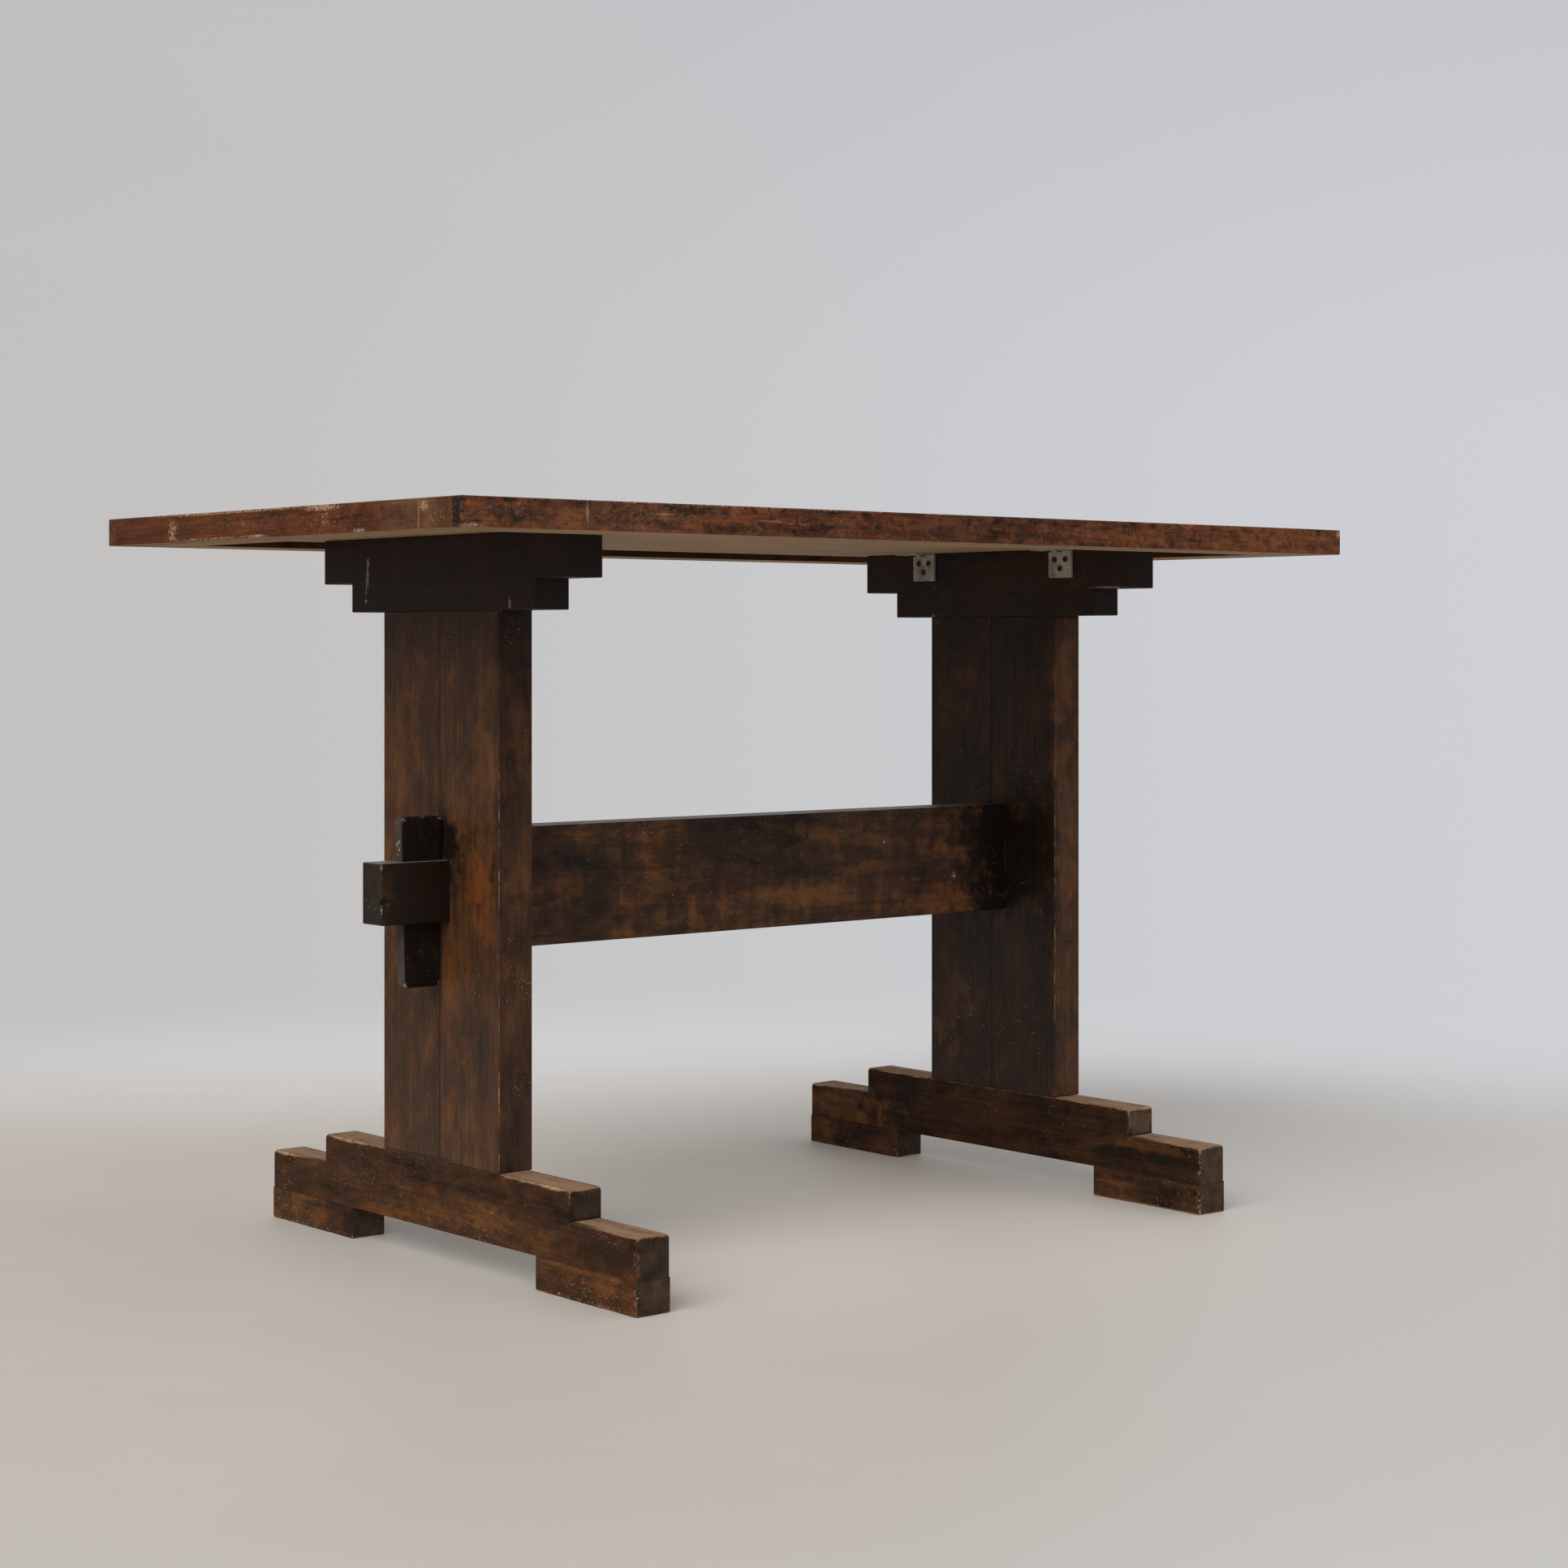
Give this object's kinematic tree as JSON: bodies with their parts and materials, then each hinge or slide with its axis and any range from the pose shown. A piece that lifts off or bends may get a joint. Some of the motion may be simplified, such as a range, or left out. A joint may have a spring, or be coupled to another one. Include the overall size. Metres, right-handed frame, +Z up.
{
  "type": "trestle dining table",
  "caption": "Wooden trestle dining table: stepped feet and bearers, wide posts and a stretcher whose through tenons are held by loose tapered wedges.",
  "frame": {"origin": "on the floor under the middle of the tabletop", "axes": "+Z up, +X along the tabletop's length from the left to the right trestle, +Y across it from front to back"},
  "size_m": [1.2, 0.65, 0.75],
  "materials": {
    "stained_wood": "worn satin varnish over dark stain",
    "dark_wood": "near-black stain, satin",
    "panel_wood": "stained and varnished above, bare below",
    "bare_wood": "unfinished, dusty",
    "plated_steel": "dull zinc plate"
  },
  "bodies": {
    "table": {"tabletop_panel": "panel_wood", "front_edge_lipping": "stained_wood", "back_edge_lipping": "stained_wood", "left_edge_lipping": "stained_wood", "right_edge_lipping": "stained_wood", "front_underside_strip": "bare_wood", "back_underside_strip": "bare_wood", "left_underside_strip": "bare_wood", "right_underside_strip": "bare_wood", "left_bearer": "dark_wood", "left_post_front_board": "stained_wood", "left_post_back_board": "stained_wood", "left_foot_plank": "stained_wood", "left_foot_front_pad": "stained_wood", "left_foot_back_pad": "stained_wood", "left_front_bracket": "plated_steel", "left_back_bracket": "plated_steel", "right_bearer": "dark_wood", "right_post_front_board": "stained_wood", "right_post_back_board": "stained_wood", "right_foot_plank": "stained_wood", "right_foot_front_pad": "stained_wood", "right_foot_back_pad": "stained_wood", "right_front_bracket": "plated_steel", "right_back_bracket": "plated_steel", "stretcher_rail": "stained_wood", "post_dowels": "bare_wood", "bracket_screws": "plated_steel"},
    "left_wedge": {"left_wedge": "stained_wood"},
    "right_wedge": {"right_wedge": "stained_wood"}
  },
  "joints": [
    {"name": "left_wedge_slide", "type": "slide", "parent": "table", "child": "left_wedge", "axis": [0, 0, 1], "range_m": [0, 0.13]},
    {"name": "right_wedge_slide", "type": "slide", "parent": "table", "child": "right_wedge", "axis": [0, 0, 1], "range_m": [0, 0.13]}
  ]
}
